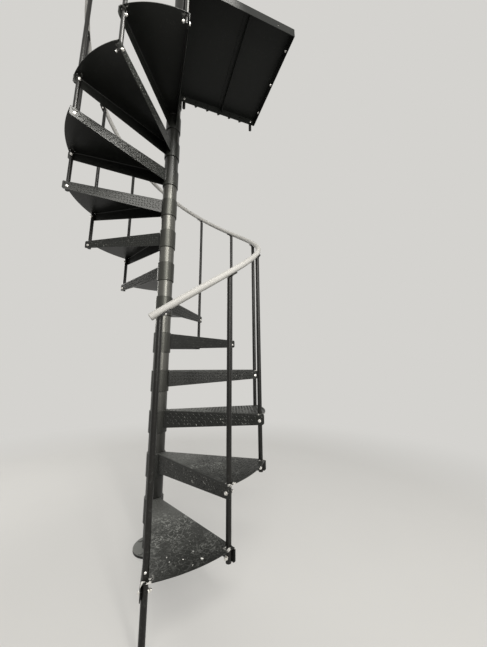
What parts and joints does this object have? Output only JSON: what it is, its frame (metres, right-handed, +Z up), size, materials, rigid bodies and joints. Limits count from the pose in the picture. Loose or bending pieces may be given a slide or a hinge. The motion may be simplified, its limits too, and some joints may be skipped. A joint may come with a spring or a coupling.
{
  "type": "spiral staircase",
  "caption": "Steel spiral staircase with pressed wedge treads on a centre column, round balusters, a helical handrail and a square landing with a guard.",
  "frame": {"origin": "the column's axis at the underside of the base plate, on the finished floor", "axes": "+Z up along the column; +X from the column towards the landing's wall side; -Y towards the landing's front side, over the first tread; the stair climbs counter-clockwise seen from above"},
  "size_m": [1.2282, 1.2281, 3.873],
  "materials": {
    "column_steel": "satin charcoal paint",
    "tread_steel": "satin charcoal paint on chequered plate, scuffed and dusty",
    "baluster_steel": "satin black paint",
    "rail_paint": "satin off-white paint",
    "saddle_steel": "black paint",
    "landing_steel": "satin charcoal paint"
  },
  "bodies": {
    "root": {"base_plate": "column_steel", "centre_column": "column_steel", "column_cap": "column_steel", "spacer_sleeves": "column_steel", "tread_01": "tread_steel", "tread_02": "tread_steel", "tread_03": "tread_steel", "tread_04": "tread_steel", "tread_05": "tread_steel", "tread_06": "tread_steel", "tread_07": "tread_steel", "tread_08": "tread_steel", "tread_09": "tread_steel", "tread_10": "tread_steel", "tread_11": "tread_steel", "tread_12": "tread_steel", "baluster_foot": "baluster_steel", "baluster_00": "baluster_steel", "baluster_01": "baluster_steel", "baluster_02": "baluster_steel", "baluster_03": "baluster_steel", "baluster_04": "baluster_steel", "baluster_05": "baluster_steel", "baluster_06": "baluster_steel", "baluster_07": "baluster_steel", "baluster_08": "baluster_steel", "baluster_09": "baluster_steel", "baluster_10": "baluster_steel", "baluster_11": "baluster_steel", "baluster_12": "baluster_steel", "handrail_lower": "rail_paint", "handrail_middle": "rail_paint", "handrail_upper": "rail_paint", "handrail_end_caps": "rail_paint", "rail_saddles": "saddle_steel", "landing_plate": "landing_steel", "landing_collar": "column_steel", "landing_entry_bar": "landing_steel", "landing_front_bar": "landing_steel", "landing_wall_bar": "landing_steel", "landing_guard_bar": "landing_steel", "landing_stiffener": "landing_steel", "guard_posts": "baluster_steel", "guard_balusters": "baluster_steel", "guard_top_rail": "rail_paint"}
  },
  "joints": []
}
